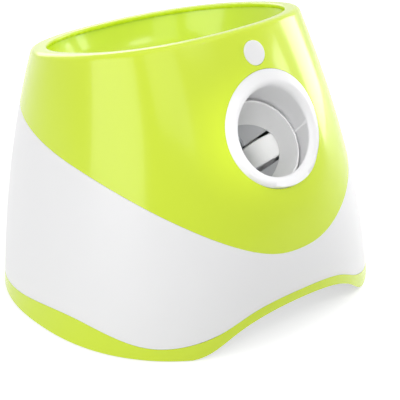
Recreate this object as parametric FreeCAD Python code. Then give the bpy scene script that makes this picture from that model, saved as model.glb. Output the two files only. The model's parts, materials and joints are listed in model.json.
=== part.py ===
import FreeCAD, Part
import math
import os

# An automatic ball launcher for small dogs. Balls wait in an open bowl, fall down a bent chute past a
# turning feed rotor, and are thrown out of a tilted barrel by two flywheels.
# Millimetres and degrees. +Z is up, the outlet faces -Y, and +X is to the right seen along +Y.
# The origin is on the floor, under the middle of the body's outline.

# ---------------------------------------------------------------- body outline
base_half_width = 129.9
base_half_depth = 121.6
rim_half_width = 88.1          # at profile_height
rim_half_depth = 82.0          # at profile_height
profile_height = 190.6
outline_power = 2.27           # 2 is an ellipse, larger is squarer
side_bow = -0.08               # how far the side line bends away from straight, as a share of its lean
depth_bow = -1.6
rim_setback = 15.8             # the rim's middle lies this far behind the base's middle
wall = 2.6
rim_height = 185.0             # rim plane over the middle of the base
rim_slope = 13.85              # the rim is higher at the front
rim_width = 9.8
rim_round = 4.5
rim_edge_round = 1.2
lip_thickness = 3.0
seam = 0.25
floor_clearance = 0.8

# Height of the coloured borders along the body: (distance behind the base's middle, height).
cap_border = ((-122.4, 55.0), (-118.4, 61.0), (-114.4, 66.8), (-99.8, 81.4), (-76.1, 95.9), (-47.6, 107.1),
              (-18.5, 114.1), (9.8, 118.2), (46.7, 124.1), (81.1, 128.7), (124.0, 130.5))
band_border = ((-124.1, 37.8), (-121.6, 35.0), (-119.1, 31.9), (-110.0, 17.7), (-91.8, 9.3), (-64.5, 12.6),
               (-31.8, 18.0), (1.3, 16.0), (45.5, 10.5), (85.0, 7.5), (124.0, 6.5))

# Arch between the front feet: height and half width, and its shape as shares of them.
arch_height = 28.0
arch_half_width = 86.0
arch_shape = ((0.0, 1.0), (0.31, 0.915), (0.62, 0.54), (0.86, 0.08), (1.0, 0.0), (1.2, 0.0))
arch_depth = 46.0
arch_wall = 2.0

# ---------------------------------------------------------------- outlet
ball_radius = 25.0
ball_clearance = 3.8           # around the ball in barrel, chute and drop hole
ring_height = 140.6
ring_pitch = 26.5              # the ring's face looks this far above level
ring_radius = 39.0
lip_radius = 29.5
lip_drop = 2.0                 # the way out's middle is this far under the ring's middle
lip_round = 4.5
lip_rise = 0.6
ring_depth = 17.0
launch_pitch = 40.0            # the barrel points this far above level
barrel_drop = 2.0              # the barrel's axis passes this far under the ring's middle
tube_wall = 2.2
ring_face_spread = 1.5         # the face's cut runs this far past ring and lip, as a share of its width
recess_depth = 30.0            # floor of the pocket around the barrel's front end
recess_radius = 33.6
barrel_front = 22.0            # the barrel stands this far short of the ring's middle
barrel_chamfer = 1.3
pocket_radius = 22.5           # round pockets in the barrel's sides, around the wheels
pocket_rise = 1.0
pocket_depth = 1.3
collar_wall = 1.8
collar_top = 9.5               # beyond the ring's edge, the collar stays this far behind its face
collar_overlap = 4.0
fit_gap = 0.15

# ---------------------------------------------------------------- flywheels and their motors
wheel_depth = 64.0             # from the ring's middle along the barrel
wheel_radius = 30.0
wheel_width = 17.0
wheel_nip = 44.0               # free width between the two wheels
window_gap = 2.3               # above and under each wheel
window_clearance = 1.6         # around each wheel
tyre_thickness = 3.5
tyre_round = 1.5
hub_rim = 3.0
hub_web = 6.0
hub_boss_radius = 6.5
motor_radius = 13.9
motor_length = 38.0
motor_cap_length = 7.0
motor_cap_step = 0.6
motor_tab_radius = 1.2
motor_tab_length = 4.0
motor_nose_radius = 5.0
motor_nose_height = 2.0
motor_shaft_radius = 1.6
motor_shaft_depth = 12.0       # of the shaft inside the motor
motor_screw_spacing = 16.0
running_gap = 0.05
plate_gap = 3.5                # wheel to motor plate
plate_thickness = 3.0
plate_reach = 24.0             # either way along the barrel from the wheel's axis
saddle_wall = 3.0
saddle_gap = 0.2
leg_width = 20.0
leg_thickness = 6.0
leg_foot = 15.0
leg_foot_thickness = 3.0

# ---------------------------------------------------------------- feed chute and rotor
bend_after_wheel = 17.0        # wheel axis to the corner between barrel and chute
chute_pitch = 21.0
drop_distance = 56.0           # corner to the drop, along the chute
drop_height = 129.0            # bowl floor at the drop hole
bowl_wall = 2.4
seat_gap = 0.2
rotor_offset = 47.0            # chute axis to the rotor's axis
finger_reach = 33.0
finger_thickness = 5.0
finger_count = 4
rotor_width = 11.0
rotor_hub_radius = 8.0
rotor_side_gap = 1.2
rotor_tip_gap = 1.2
rotor_shaft_radius = 2.5
cheek_inside = 34.0            # from the middle plane to each cheek
cheek_thickness = 5.0
cheek_front = 26.0             # from the rotor's axis
cheek_back = 18.0
stand_floor = 3.0
bushing_wall = 2.0
bushing_flange = 1.2
bushing_flange_width = 1.6
lug_height = 98.0
lug_thickness = 4.5
lug_width = 14.0
neck_flange_width = 6.0
neck_flange_thickness = 2.2
sensor_radius = 2.5
sensor_height = 117.0
sensor_length = 8.0
sensor_flange = 0.8
sensor_flange_thickness = 1.2

# ---------------------------------------------------------------- feed drive
gear_module = 1.0
gear_teeth = 40
pinion_teeth = 12
gear_width = 6.0
gear_inside = 43.0             # from the middle plane
gear_backlash = 0.16           # taken off each tooth flank
pressure_angle = 20.0
gear_dedendum = 1.25           # in modules
pinion_angle = -60.0           # direction of the pinion from the rotor's axis, up from +Y
bracket_gap = 3.0
bracket_thickness = 3.0
bracket_width = 34.0
bracket_top_room = 16.0
gearbox_radius = 12.4
gearbox_length = 17.0
drive_motor_radius = 10.0
drive_motor_length = 22.0
drive_nose_radius = 3.6
drive_shaft_radius = 2.0
drive_shaft_depth = 8.0
drive_screw_spacing = 17.0

# ---------------------------------------------------------------- bowl
# The bowl's wall between rim and drop hole: (share of the way in, share of the way down).
bowl_profile = ((0.0, 0.0), (0.02, 0.10), (0.10, 0.42), (0.28, 0.78), (0.60, 0.93), (1.0, 1.0))
bowl_skew = 0.8                # share of the wall thickness that the outside lies lower
hole_shoulder = 1.0            # flat ring around the drop hole

# ---------------------------------------------------------------- sensor window above the outlet
window_radius = 8.3
window_height = 185.4
window_pitch = 26.0
window_depth = 7.0
window_skin = 1.6
window_cup_wall = 1.3
window_proud = 0.4
eye_board_radius = 9.6
eye_board_thickness = 1.2
eye_can_radius = 4.5
eye_can_height = 4.0

# ---------------------------------------------------------------- base
plate_height = 3.0
plate_floor = 2.6
foot_radius = 9.0
foot_stud_radius = 3.0
foot_places = ((94.0, -68.0), (58.0, 98.0))
pillar_radius = 5.0
pillar_height = 40.0
pillar_places = ((104.0, -38.0), (88.0, 72.0))
boss_height = 16.0
boss_radius = 4.6
rib_thickness = 2.4
screw_radius = 1.4
screw_clearance = 0.1
screw_head_radius = 2.7
screw_head_height = 1.8
screw_length = 12.0
joint_places = ((86.0, -32.0), (62.0, 84.0))
joint_drop = 8.0               # seat between the two shells' bosses, under the border
joint_boss_low = 18.0
joint_boss_high = 20.0
lower_screw_floor = 3.0        # material over the head recess in each pillar and boss

# ---------------------------------------------------------------- power and controls
battery_low = (-98.0, -24.0)
battery_size = (50.0, 68.0, 37.0)
battery_round = 4.0
tray_wall = 2.0
tray_height = 10.0
tray_gap = 0.4
board_low = (-40.0, 62.0)
board_size = (80.0, 42.0, 1.6)
board_lift = 6.0
standoff_radius = 3.0
standoff_inset = 4.0
# Chips, a relay and plug sockets: share along the board, share across it, half sizes, height.
board_blocks = ((0.30, 0.55, 5.0, 5.0, 2.0), (0.52, 0.30, 4.0, 3.0, 1.8), (0.72, 0.62, 7.5, 5.5, 14.0),
                (0.50, 0.86, 6.0, 2.5, 6.0), (0.24, 0.14, 5.0, 2.5, 6.0))
# Capacitors: share along the board, share across it, radius, height.
board_cans = ((0.86, 0.26, 4.0, 11.0), (0.14, 0.66, 4.0, 11.0), (0.40, 0.20, 3.0, 7.0))
panel_height = 62.0
panel_half_width = 38.0
panel_half_height = 17.0
button_spread = 23.0           # each button's distance from the middle
button_rise = 4.0              # buttons above the panel's middle
button_radius = 6.5
button_proud = 1.6
button_travel = 1.2
button_gap = 0.15
button_flange = 1.4
button_flange_thickness = 1.2
button_stem_radius = 2.5
button_stem = 2.0
button_edge_round = 0.6
switch_height = 3.0
switch_body_height = 2.1
switch_half_width = 3.0
switch_gap = 0.2
light_radius = 1.5
light_pitch = 7.0
light_proud = 0.3
control_board_thickness = 1.6
control_board_low = 57.5
control_board_high = 77.0
control_board_half_width = 33.0
post_radius = 2.5
post_inset = 2.5
jack_drop = 10.5               # DC socket under the panel's middle
jack_hole_radius = 4.0
jack_bore_radius = 2.8
jack_pin_radius = 1.0
jack_half_width = 4.6
jack_depth = 13.0
jack_wall = 2.0

# ---------------------------------------------------------------- working values
V = FreeCAD.Vector
ACROSS = V(1, 0, 0)
BACK = V(0, 1, 0)
UP = V(0, 0, 1)
room = 300.0                   # half size of the blocks used for cutting
below_floor = -12.0            # the body blocks start under the floor and end over the rim
over_rim = 226.0
curve_points = 48
level_count = 9
reach = 1.0                    # how far a cut runs past the face it leaves through
bore_radius = ball_radius + ball_clearance

os.makedirs("parts", exist_ok=True)


def save(name, *solids):
    """Write one node; several solids stay apart in one group."""
    shape = solids[0] if len(solids) == 1 else Part.makeCompound(list(solids))
    shape.exportStep("parts/" + name + ".step")


# ---------------------------------------------------------------- plain solids
def box(low, high):
    size = high - low
    return Part.makeBox(size.x, size.y, size.z, low)


def rod(radius, start, direction, length):
    return Part.makeCylinder(radius, length, start, direction)


def pipe(outer, inner, start, direction, length):
    return rod(outer, start, direction, length).cut(rod(inner, start, direction, length))


def mirrored(shape):
    return shape.mirror(V(0, 0, 0), ACROSS)


def fused(*shapes):
    return shapes[0].multiFuse(list(shapes[1:]))


def closed_curve(points):
    curve = Part.BSplineCurve()
    curve.interpolate(Points=points, PeriodicFlag=True)
    return Part.Wire([curve.toShape()])


def around():
    return [2 * math.pi * k / curve_points for k in range(curve_points)]


# ---------------------------------------------------------------- the body's outline
def half_sizes(z, inset):
    t = z / profile_height
    bow = t * (1 - t)
    width = base_half_width + (rim_half_width - base_half_width) * (t + side_bow * bow)
    depth = base_half_depth + (rim_half_depth - base_half_depth) * (t + depth_bow * bow)
    return width - inset, depth - inset


def setback(z):
    return rim_setback * z / profile_height


# The body is placed so that its deepest outline, front and back, is centred on the origin.
heights = [profile_height * k / 100 for k in range(101)]
front_end = min(setback(z) - half_sizes(z, 0)[1] for z in heights)
back_end = max(setback(z) + half_sizes(z, 0)[1] for z in heights)
base_y = -(front_end + back_end) / 2


def body_point(z, angle, inset=0.0):
    a, b = half_sizes(z, inset)
    c = math.cos(angle)
    s = math.sin(angle)
    n = outline_power
    r = (abs(c / a) ** n + abs(s / b) ** n) ** (-1 / n)
    return V(r * c, base_y + setback(z) + r * s, z)


def wall_y(x, z, inset, side):
    """Y of the body's surface at x and z; side is -1 at the front and +1 at the back."""
    a, b = half_sizes(z, inset)
    return base_y + setback(z) + side * b * (1 - abs(x / a) ** outline_power) ** (1 / outline_power)


def body_block(inset, low=below_floor, high=over_rim):
    step = (high - low) / (level_count - 1)
    levels = [low + step * k for k in range(level_count)]
    wires = [closed_curve([body_point(z, angle, inset) for angle in around()]) for z in levels]
    return Part.makeLoft(wires, True, False)


# ---------------------------------------------------------------- the sloping rim
rim_origin = V(0, base_y, rim_height)
rim_normal = V(0, math.sin(math.radians(rim_slope)), math.cos(math.radians(rim_slope)))


def rim_point(angle, inset, depth):
    """Point of the body's outline in the plane that lies depth under the rim."""
    z = rim_height
    for _ in range(12):
        p = body_point(z, angle, inset)
        z = rim_height - depth / rim_normal.z - (p.y - base_y) * rim_normal.y / rim_normal.z
    p.z = z
    return p


def under_rim(depth):
    block = Part.makeBox(2 * room, 2 * room, 2 * room, V(-room, -room, -2 * room - depth))
    block.Placement = FreeCAD.Placement(rim_origin, FreeCAD.Rotation(ACROSS, -rim_slope))
    return block


def edges_at_rim(shape, depth):
    origin = rim_origin - rim_normal * depth
    found = []
    for edge in shape.Edges:
        first, last = edge.ParameterRange
        points = [edge.valueAt(first + (last - first) * share) for share in (0, 0.3, 0.7, 1)]
        if all(abs((p - origin).dot(rim_normal)) < 0.001 for p in points):
            found.append(edge)
    return found


def rim_prism(inset, top, bottom):
    """Straight prism on the rim's outline, between two depths under the rim plane."""
    face = Part.Face(closed_curve([rim_point(angle, inset, 0) for angle in around()]))
    face.translate(rim_normal * -bottom)
    return face.extrude(rim_normal * (bottom - top))


# ---------------------------------------------------------------- blocks above and under the borders
def border_block(points, shift, above):
    """Everything above, or under, a border line that runs along the body."""
    curve = Part.BSplineCurve()
    line = [V(-room, base_y + y, z + shift) for y, z in points]
    curve.interpolate(Points=line)
    first, last = line[0], line[-1]
    end = room if above else -room
    corners = [last, V(-room, room, last.z), V(-room, room, end), V(-room, -room, end),
               V(-room, -room, first.z), first]
    edges = [curve.toShape()] + [Part.makeLine(a, b) for a, b in zip(corners, corners[1:])]
    return Part.Face(Part.Wire(edges)).extrude(ACROSS * 2 * room)


def border_z(points, y):
    pairs = zip(points, points[1:])
    return next(z0 + (z1 - z0) * (y - y0) / (y1 - y0) for (y0, z0), (y1, z1) in pairs if y <= y1)


def arch_block(growth, back):
    """The free space under the front arch, grown by a wall thickness, from the front to back."""
    right = [V((arch_half_width + growth) * x, 0, (arch_height + growth) * z) for x, z in arch_shape]
    line = [V(-p.x, 0, p.z) for p in reversed(right)] + right[1:]
    curve = Part.BSplineCurve()
    curve.interpolate(Points=line)
    first, last = line[0], line[-1]
    corners = [last, V(room, 0, 0), V(room, 0, -room), V(-room, 0, -room), V(-room, 0, 0), first]
    edges = [curve.toShape()] + [Part.makeLine(a, b) for a, b in zip(corners, corners[1:])]
    face = Part.Face(Part.Wire(edges))
    face.translate(V(0, -room, 0))
    return face.extrude(BACK * (back + room))


arch_back = base_y - base_half_depth + arch_depth

# ---------------------------------------------------------------- frames of the outlet and the barrel
ring_centre = V(0, wall_y(0, ring_height, 0, -1), ring_height)


def frame_on(centre, pitch):
    """Local X across, local Y up along the face, local Z out of the front at pitch above level."""
    return FreeCAD.Placement(centre, FreeCAD.Rotation(ACROSS, 90 - pitch))


ring_frame = frame_on(ring_centre, ring_pitch)
barrel_up = V(0, math.sin(math.radians(launch_pitch)), math.cos(math.radians(launch_pitch)))
barrel_start = ring_centre - barrel_up * barrel_drop
barrel_frame = frame_on(barrel_start, launch_pitch)


def placed(shape, frame):
    copy = shape.copy()
    copy.Placement = frame
    return copy.copy()


def in_barrel(x, up, depth):
    return barrel_frame.multVec(V(x, up, -depth))


barrel_in = in_barrel(0, 0, 1) - barrel_start
tube_radius = bore_radius + tube_wall
wheel_x = wheel_nip / 2 + wheel_radius

# The corner where the barrel's axis meets the chute's axis, and the chute's own directions.
corner = in_barrel(0, 0, wheel_depth + bend_after_wheel)
chute_up = V(0, math.cos(math.radians(chute_pitch)), math.sin(math.radians(chute_pitch)))
chute_over = V(0, -math.sin(math.radians(chute_pitch)), math.cos(math.radians(chute_pitch)))
drop = corner + chute_up * drop_distance
rotor_axis = drop - chute_over * rotor_offset
plate_top = plate_height + plate_floor


def before_mitre(point, arriving, leaving, gap=0.0):
    """Everything on the arriving side of the mitre plane at a bend; gap moves the plane back that way."""
    block = Part.makeBox(2 * room, 2 * room, 2 * room, V(-room, -room, gap))
    block.Placement = FreeCAD.Placement(point, FreeCAD.Rotation(UP, -(arriving + leaving)))
    return block


def wheel_sweeps():
    """Room for both flywheels, with their clearance."""
    half = wheel_width / 2 + window_gap
    start = in_barrel(wheel_x, -half, wheel_depth)
    right = rod(wheel_radius + window_clearance, start, barrel_up, 2 * half)
    return right, mirrored(right)


# ---------------------------------------------------------------- outer shells
def hollow_body():
    outer = body_block(0).common(under_rim(0))
    outer = outer.makeFillet(rim_round, edges_at_rim(outer, 0))
    cavity = body_block(wall, 2 * below_floor).common(under_rim(lip_thickness))
    cavity = cavity.makeFillet(rim_round, edges_at_rim(cavity, lip_thickness))
    mouth = rim_prism(rim_width, -reach, lip_thickness + reach)
    return outer.cut(cavity).cut(mouth)


def wall_boss(x, y, low, high):
    """A screw boss with a rib that reaches out into the wall."""
    foot = V(x, base_y + y, low)
    out = V(x, y, 0).normalize()
    side = UP.cross(out)
    rib = Part.makeBox(room, rib_thickness, high - low)
    turn = FreeCAD.Rotation(UP, math.degrees(math.atan2(y, x)))
    rib.Placement = FreeCAD.Placement(foot - side * rib_thickness / 2, turn)
    return rod(boss_radius, foot, UP, high - low).fuse(rib)


def four(places):
    return [(side * x, y) for x, y in places for side in (-1, 1)]


def screw_hole(x, y, low, high):
    return rod(screw_radius + screw_clearance, V(x, base_y + y, low), UP, high - low)


def stepped_hole(x, y, low, seat):
    """Hole for a screw from below, up to the seat, with the wide stretch that its head goes through."""
    head = rod(screw_head_radius + screw_clearance, V(x, base_y + y, low - reach), UP,
               seat - lower_screw_floor - low + reach)
    return head.fuse(screw_hole(x, y, low, seat + reach))


def joint_seat(y):
    return border_z(cap_border, y) - joint_drop


pillar_top = plate_top + pillar_height


def upper_shell(hollow):
    shell = hollow.common(border_block(cap_border, seam / 2, True))
    above = body_block(wall / 2).common(border_block(cap_border, seam / 2, True))
    below = body_block(wall + fit_gap)
    bosses = []
    holes = []
    for x, y in four(joint_places):
        seat = joint_seat(y)
        boss = wall_boss(x, y, seat, seat + joint_boss_high)
        bosses += [boss.common(above), boss.common(below)]
        holes.append(screw_hole(x, y, seat - reach, seat + screw_length))
    shell = fused(shell, *bosses)
    hole = placed(rod(ring_radius + seam, V(0, 0, -2 * ring_depth), UP, 4 * ring_depth), ring_frame)
    eye = placed(rod(window_radius + fit_gap, V(0, 0, -window_depth), UP, 2 * window_depth), window_frame)
    shell = shell.cut(Part.makeCompound(holes + [hole, eye]))
    return shell.makeFillet(rim_edge_round, [edges_at_rim(shell, 0)[-1]])


def panel_prism(growth):
    """Stadium-shaped block through the back wall."""
    half = panel_half_width - panel_half_height
    radius = panel_half_height + growth
    middle = box(V(-half, 0, panel_height - radius), V(half, room, panel_height + radius))
    ends = [rod(radius, V(side * half, 0, panel_height), BACK, room) for side in (-1, 1)]
    return fused(middle, *ends)


def lower_shell(hollow):
    shell = hollow.common(border_block(cap_border, -seam / 2, False))
    shell = shell.common(border_block(band_border, seam / 2, True))
    bosses = []
    holes = []
    for x, y in four(joint_places):
        seat = joint_seat(y)
        bosses.append(wall_boss(x, y, seat - joint_boss_low, seat - seat_gap))
        holes.append(stepped_hole(x, y, seat - joint_boss_low, seat))
    for x, y in four(pillar_places):
        bosses.append(wall_boss(x, y, pillar_top + seat_gap, pillar_top + boss_height))
        holes.append(screw_hole(x, y, pillar_top, pillar_top + screw_length))
    inside = body_block(wall / 2)
    shell = fused(shell, *[boss.common(inside) for boss in bosses])
    return shell.cut(Part.makeCompound(holes + [panel_prism(seam)]))


def base_skirt(hollow):
    skirt = hollow.common(border_block(band_border, -seam / 2, False))
    ground = Part.makeBox(2 * room, 2 * room, room, V(-room, -room, floor_clearance - room))
    return skirt.cut(ground).cut(arch_block(0, 0))


# ---------------------------------------------------------------- base
def base_plate():
    inside = body_block(wall + seam, below_floor, 2 * arch_height)
    floor = inside.common(box(V(-room, -room, plate_height), V(room, room, plate_top)))
    above = box(V(-room, -room, plate_height), V(room, room, room))
    vault = inside.common(arch_block(arch_wall, arch_back + arch_wall)).common(above)
    posts = [rod(pillar_radius, V(x, base_y + y, plate_height), UP, pillar_top - plate_height)
             for x, y in four(pillar_places)]
    plate = fused(floor, vault, *posts, *battery_tray(), *board_standoffs())
    cuts = [arch_block(0, arch_back)]
    cuts += [stepped_hole(x, y, plate_height, pillar_top) for x, y in four(pillar_places)]
    for x, y in four(foot_places):
        cuts.append(rod(foot_stud_radius + fit_gap, V(x, base_y + y, plate_height - reach), UP,
                        plate_floor + 2 * reach))
    return plate.cut(Part.makeCompound(cuts))


def rubber_feet():
    feet = []
    for x, y in four(foot_places):
        centre = V(x, base_y + y, 0)
        pad = rod(foot_radius, centre, UP, plate_height)
        feet.append(fused(pad, rod(foot_stud_radius, centre, UP, plate_top)))
    return feet


def battery_tray():
    """Low walls that hold the battery on the base plate."""
    low = V(battery_low[0] - tray_gap, base_y + battery_low[1] - tray_gap, plate_height)
    high = low + V(battery_size[0] + 2 * tray_gap, battery_size[1] + 2 * tray_gap, plate_floor + tray_height)
    margin = V(tray_wall, tray_wall, 0)
    return [box(low - margin, high + margin).cut(box(low, high))]


def battery_pack():
    low = V(battery_low[0], base_y + battery_low[1], plate_top)
    pack = box(low, low + V(*battery_size))
    long_edges = [e for e in pack.Edges if abs(e.tangentAt(0).y) > 0.9]
    return pack.makeFillet(battery_round, long_edges)


def board_corners():
    x0 = board_low[0] + standoff_inset
    y0 = base_y + board_low[1] + standoff_inset
    x1 = x0 + board_size[0] - 2 * standoff_inset
    y1 = y0 + board_size[1] - 2 * standoff_inset
    return [V(x, y, plate_top) for x in (x0, x1) for y in (y0, y1)]


def board_standoffs():
    height = plate_floor + board_lift
    return [rod(standoff_radius, p - UP * plate_floor, UP, height) for p in board_corners()]


def main_board():
    low = V(board_low[0], base_y + board_low[1], plate_top + board_lift)
    board = box(low, low + V(*board_size))
    holes = [rod(screw_radius, p, UP, board_lift + board_size[2] + reach) for p in board_corners()]
    return board.cut(Part.makeCompound(holes))


def board_parts():
    top = V(board_low[0], base_y + board_low[1], plate_top + board_lift + board_size[2])
    solids = []
    for along, across, half_x, half_y, height in board_blocks:
        middle = top + V(board_size[0] * along, board_size[1] * across, 0)
        solids.append(box(middle - V(half_x, half_y, 0), middle + V(half_x, half_y, height)))
    for along, across, radius, height in board_cans:
        solids.append(rod(radius, top + V(board_size[0] * along, board_size[1] * across, 0), UP, height))
    return solids


# ---------------------------------------------------------------- outlet ring
def ring_face_block():
    """The space in front of the ring: from the flat lip out to where the ring meets the body."""
    edge = []
    lip = []
    for angle in around():
        across = V(math.cos(angle), math.sin(angle), 0)
        outer = across * ring_radius
        low = -2 * ring_depth
        high = 2 * ring_depth
        for _ in range(30):
            middle = (low + high) / 2
            p = ring_frame.multVec(V(outer.x, outer.y, middle))
            inside = p.y > wall_y(p.x, p.z, 0, -1)
            low, high = (middle, high) if inside else (low, middle)
        rim = outer + UP * low
        inner = across * lip_radius + V(0, -lip_drop, lip_rise)
        far = (rim - inner) * ring_face_spread
        edge.append(rim + far)
        lip.append(inner - far)
    edge_wire = closed_curve([ring_frame.multVec(p) for p in edge])
    lip_wire = closed_curve([ring_frame.multVec(p) for p in lip])
    face = Part.makeRuledSurface(lip_wire.Edges[0], edge_wire.Edges[0])
    out = ring_frame.multVec(UP) - ring_centre
    return face.extrude(out * 3 * ring_depth)


def outlet_bore():
    """Way out through the lip, the pocket around the barrel's front end, and the socket that holds it."""
    throat = V(0, -lip_drop, lip_rise - lip_round - reach)
    lip = Part.Wire([Part.Circle(throat, UP, lip_radius).toShape()])
    lip.Placement = ring_frame
    deep = Part.Wire([Part.Circle(V(0, 0, -recess_depth), UP, recess_radius).toShape()])
    deep.Placement = barrel_frame
    recess = Part.makeLoft([lip, deep], True, True)
    way_out = placed(rod(lip_radius, throat, UP, 2 * ring_depth), ring_frame)
    socket = rod(tube_radius + fit_gap, in_barrel(0, 0, recess_depth), barrel_in, 2 * collar_overlap)
    return recess, way_out, socket


def on_lip(edge):
    """Whether an edge is the sharp one around the way out, on the flat lip."""
    points = [ring_frame.inverse().multVec(p) for p in edge.discretize(9)]
    across = max(math.hypot(p.x, p.y + lip_drop) for p in points)
    return across < lip_radius + seam and min(p.z for p in points) > lip_rise - lip_round / 2


def outlet_ring():
    body = placed(rod(ring_radius, V(0, 0, -ring_depth), UP, 2 * ring_depth), ring_frame)
    collar_radius = recess_radius + collar_wall
    collar = rod(collar_radius, in_barrel(0, 0, ring_depth / 2), barrel_in,
                 recess_depth + collar_overlap - ring_depth / 2)
    shell_zone = pipe(2 * ring_radius, ring_radius, V(0, 0, -collar_top), UP, room)
    collar = collar.cut(placed(shell_zone, ring_frame))
    recess, way_out, socket = outlet_bore()
    ring = body.cut(ring_face_block()).fuse(collar).cut(way_out)
    ring = ring.makeFillet(lip_round, [e for e in ring.Edges if on_lip(e)])
    return ring.cut(recess).cut(socket)


# ---------------------------------------------------------------- barrel and chute
def barrel_tube():
    length = wheel_depth + bend_after_wheel + 2 * tube_radius - barrel_front
    start = in_barrel(0, 0, barrel_front)
    tube = rod(tube_radius, start, barrel_in, length)
    tube = tube.makeChamfer(barrel_chamfer, [e for e in tube.Edges if e.CenterOfMass.isEqual(start, seam)])
    bore = rod(bore_radius, start - barrel_in, barrel_in, length)
    side_bore = rod(pocket_radius, in_barrel(-room, pocket_rise, wheel_depth), ACROSS, 2 * room)
    pockets = rod(bore_radius + pocket_depth, start, barrel_in, length).common(side_bore)
    right, left = wheel_sweeps()
    tube = tube.cut(bore).cut(pockets).cut(right).cut(left)
    return tube.common(before_mitre(corner, barrel_in, chute_up, seat_gap / 2))


def neck_top():
    return drop_height - bowl_wall - seat_gap


def rotor_sweep():
    half = rotor_width / 2 + rotor_side_gap
    return rod(finger_reach + rotor_tip_gap, rotor_axis - ACROSS * half, ACROSS, 2 * half)


def elbow(radius, top):
    """The chute's slanted run and its upright neck, which meet at a mitre."""
    slanted = rod(radius, corner - chute_up * 2 * tube_radius, chute_up, drop_distance + 4 * tube_radius)
    upright = rod(radius, drop - UP * 2 * tube_radius, UP, top - drop.z + 2 * tube_radius)
    before = before_mitre(drop, chute_up, UP)
    return slanted.common(before).fuse(upright.cut(before))


def feed_chute():
    flange_low = V(drop.x, drop.y, neck_top() - neck_flange_thickness)
    lug_end = V(cheek_inside + cheek_thickness, drop.y + lug_width / 2, lug_height + lug_thickness)
    lug = box(V(0, drop.y - lug_width / 2, lug_height), lug_end)
    outside = fused(elbow(tube_radius, neck_top()), lug, mirrored(lug),
                    rod(tube_radius + neck_flange_width, flange_low, UP, neck_flange_thickness))
    inside = elbow(bore_radius, neck_top() + reach)
    above = box(V(-room, -room, neck_top()), V(room, room, 2 * room))
    right, left = wheel_sweeps()
    eye = V(-room, drop.y, sensor_height)
    light_path = rod(sensor_radius + running_gap, eye, ACROSS, 2 * room)
    barrel_side = before_mitre(corner, barrel_in, chute_up, -seat_gap / 2)
    cuts = [barrel_side, above, inside, right, left, rotor_sweep(), light_path]
    cuts += [rod(screw_radius, p, UP, lug_thickness + reach) for p in lug_screw_feet()]
    chute = outside
    for cut in cuts:
        chute = chute.cut(cut)
    return chute


def lug_screw_feet():
    x = cheek_inside + cheek_thickness / 2
    return [V(side * x, drop.y, lug_height) for side in (-1, 1)]


def ball_sensor(side):
    """Light barrier lamp or eye, pushed into the neck's side wall."""
    tip = V(side * (bore_radius + reach / 2), drop.y, sensor_height)
    seat = V(side * (tube_radius + reach), drop.y, sensor_height)
    bulb = rod(sensor_radius, tip, ACROSS * side, sensor_length)
    return fused(bulb, rod(sensor_radius + sensor_flange, seat, ACROSS * side, sensor_flange_thickness))


# ---------------------------------------------------------------- flywheels
def wheel_base(x, up):
    return in_barrel(x, up, wheel_depth)


def flywheel_tyre(x):
    start = wheel_base(x, -wheel_width / 2)
    tyre = rod(wheel_radius, start, barrel_up, wheel_width)
    tyre = tyre.makeFillet(tyre_round, tyre.Edges)
    bore = rod(wheel_radius - tyre_thickness + running_gap, start - barrel_up * reach, barrel_up,
               wheel_width + 2 * reach)
    return tyre.cut(bore)


def flywheel_hub(x):
    outer = wheel_radius - tyre_thickness
    start = wheel_base(x, -wheel_width / 2)
    drum = rod(outer, start, barrel_up, wheel_width)
    pocket = (wheel_width - hub_web) / 2
    ring = pipe(outer - hub_rim, hub_boss_radius, start, barrel_up, pocket)
    top = pipe(outer - hub_rim, hub_boss_radius, wheel_base(x, wheel_width / 2 - pocket), barrel_up, pocket)
    hole_radius = motor_shaft_radius + running_gap
    shaft = rod(hole_radius, start - barrel_up * reach, barrel_up, wheel_width + 2 * reach)
    return drum.cut(ring).cut(top).cut(shaft)


motor_face = -wheel_width / 2 - plate_gap - plate_thickness


def motor_shaft(x):
    low = motor_face - motor_shaft_depth
    return rod(motor_shaft_radius, wheel_base(x, low), barrel_up, wheel_width / 2 - low)


def screw_spots(x):
    """The two screws of a flywheel motor, either side of its shaft."""
    return [x - motor_screw_spacing / 2, x + motor_screw_spacing / 2]


def flywheel_motor(x):
    down = -barrel_up
    can_end = motor_face - motor_length + reach
    can = rod(motor_radius, wheel_base(x, motor_face - seat_gap / 2), down, motor_length - motor_cap_length)
    cap_top = wheel_base(x, can_end + motor_cap_length)
    cap = rod(motor_radius - motor_cap_step, cap_top, down, motor_cap_length)
    nose = rod(motor_nose_radius, wheel_base(x, motor_face - reach), barrel_up, motor_nose_height + reach)
    tab_places = [wheel_base(x + side * motor_radius / 2, can_end) for side in (-1, 1)]
    tabs = [rod(motor_tab_radius, place, down, motor_tab_length) for place in tab_places]
    motor = fused(can, cap, nose, *tabs)
    shaft_top = wheel_base(x, motor_nose_height + motor_face + reach)
    shaft_hole = motor_nose_height + 2 * reach + motor_shaft_depth
    shaft = rod(motor_shaft_radius + running_gap, shaft_top, down, shaft_hole)
    hole_radius = screw_radius + screw_clearance
    tops = [wheel_base(spot, motor_face + reach) for spot in screw_spots(x)]
    holes = [rod(hole_radius, top, down, screw_length / 2) for top in tops]
    return motor.cut(Part.makeCompound([shaft] + holes))


def plate_box(x0, x1, up0, up1, depth0, depth1):
    """A box given in the barrel's own directions."""
    block = box(V(x0, up0, -depth1), V(x1, up1, -depth0))
    return placed(block, barrel_frame)


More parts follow.
